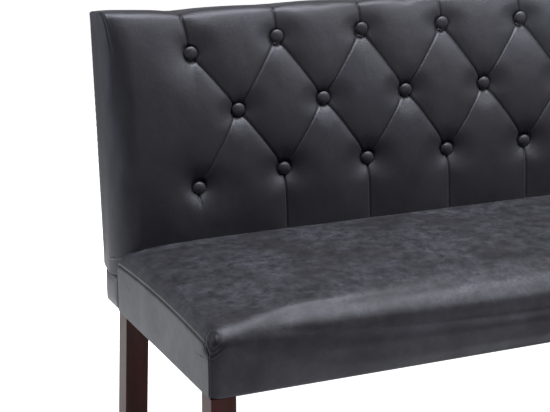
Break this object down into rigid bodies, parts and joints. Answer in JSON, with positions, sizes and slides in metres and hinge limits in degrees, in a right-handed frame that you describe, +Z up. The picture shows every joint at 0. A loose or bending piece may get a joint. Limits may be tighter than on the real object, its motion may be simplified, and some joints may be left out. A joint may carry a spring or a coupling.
{
  "type": "upholstered bench",
  "caption": "Long upholstered dining bench with a crowned seat, a leaning button-tufted back and square wooden legs.",
  "frame": {"origin": "middle of the bench's footprint box, on the floor", "axes": "+X along the bench, to the right as seen from the front; +Y to the rear; +Z up"},
  "size_m": [1.46, 0.6055, 0.9252],
  "materials": {
    "leg_lacquer": "very dark brown gloss lacquer",
    "glide_plastic": "matte",
    "zinc_steel": "zinc plated",
    "frame_wood": "raw sawn",
    "strap_cloth": "woven",
    "dust_cloth": "non-woven",
    "foam": "open-cell foam",
    "cover_leather": "anthracite, satin, softly scuffed"
  },
  "bodies": {
    "root": {"front_left_leg": "leg_lacquer", "front_right_leg": "leg_lacquer", "rear_left_leg": "leg_lacquer", "rear_right_leg": "leg_lacquer", "front_left_glide": "glide_plastic", "front_right_glide": "glide_plastic", "rear_left_glide": "glide_plastic", "rear_right_glide": "glide_plastic", "leg_hanger_bolts": "zinc_steel", "leg_tee_nuts": "zinc_steel", "back_bolts": "zinc_steel", "back_bolt_washers": "zinc_steel", "back_bolt_tee_nuts": "zinc_steel", "dust_cover_staples": "zinc_steel", "button_anchors": "zinc_steel", "seat_front_left_post": "frame_wood", "seat_front_right_post": "frame_wood", "seat_rear_left_post": "frame_wood", "seat_rear_right_post": "frame_wood", "seat_front_rail": "frame_wood", "seat_rear_rail": "frame_wood", "seat_left_rail": "frame_wood", "seat_right_rail": "frame_wood", "seat_left_cross_rail": "frame_wood", "seat_right_cross_rail": "frame_wood", "seat_frame_dowels": "frame_wood", "back_left_stile": "frame_wood", "back_right_stile": "frame_wood", "back_left_post": "frame_wood", "back_right_post": "frame_wood", "back_top_rail": "frame_wood", "back_left_bottom_rail": "frame_wood", "back_centre_bottom_rail": "frame_wood", "back_right_bottom_rail": "frame_wood", "back_frame_dowels": "frame_wood", "tufting_panel": "frame_wood", "seat_crosswise_webbing": "strap_cloth", "seat_lengthwise_webbing": "strap_cloth", "button_ties": "strap_cloth", "seat_dust_cover": "dust_cloth", "seat_foam": "foam", "back_front_pad": "foam", "back_edge_pad": "foam", "back_rear_pad": "foam", "back_band_pad": "foam", "seat_top_cover": "cover_leather", "seat_left_cover": "cover_leather", "seat_right_cover": "cover_leather", "back_front_cover": "cover_leather", "back_rear_cover": "cover_leather", "back_band_cover": "cover_leather", "back_top_buttons": "cover_leather", "back_middle_buttons": "cover_leather", "back_bottom_buttons": "cover_leather"}
  },
  "joints": []
}
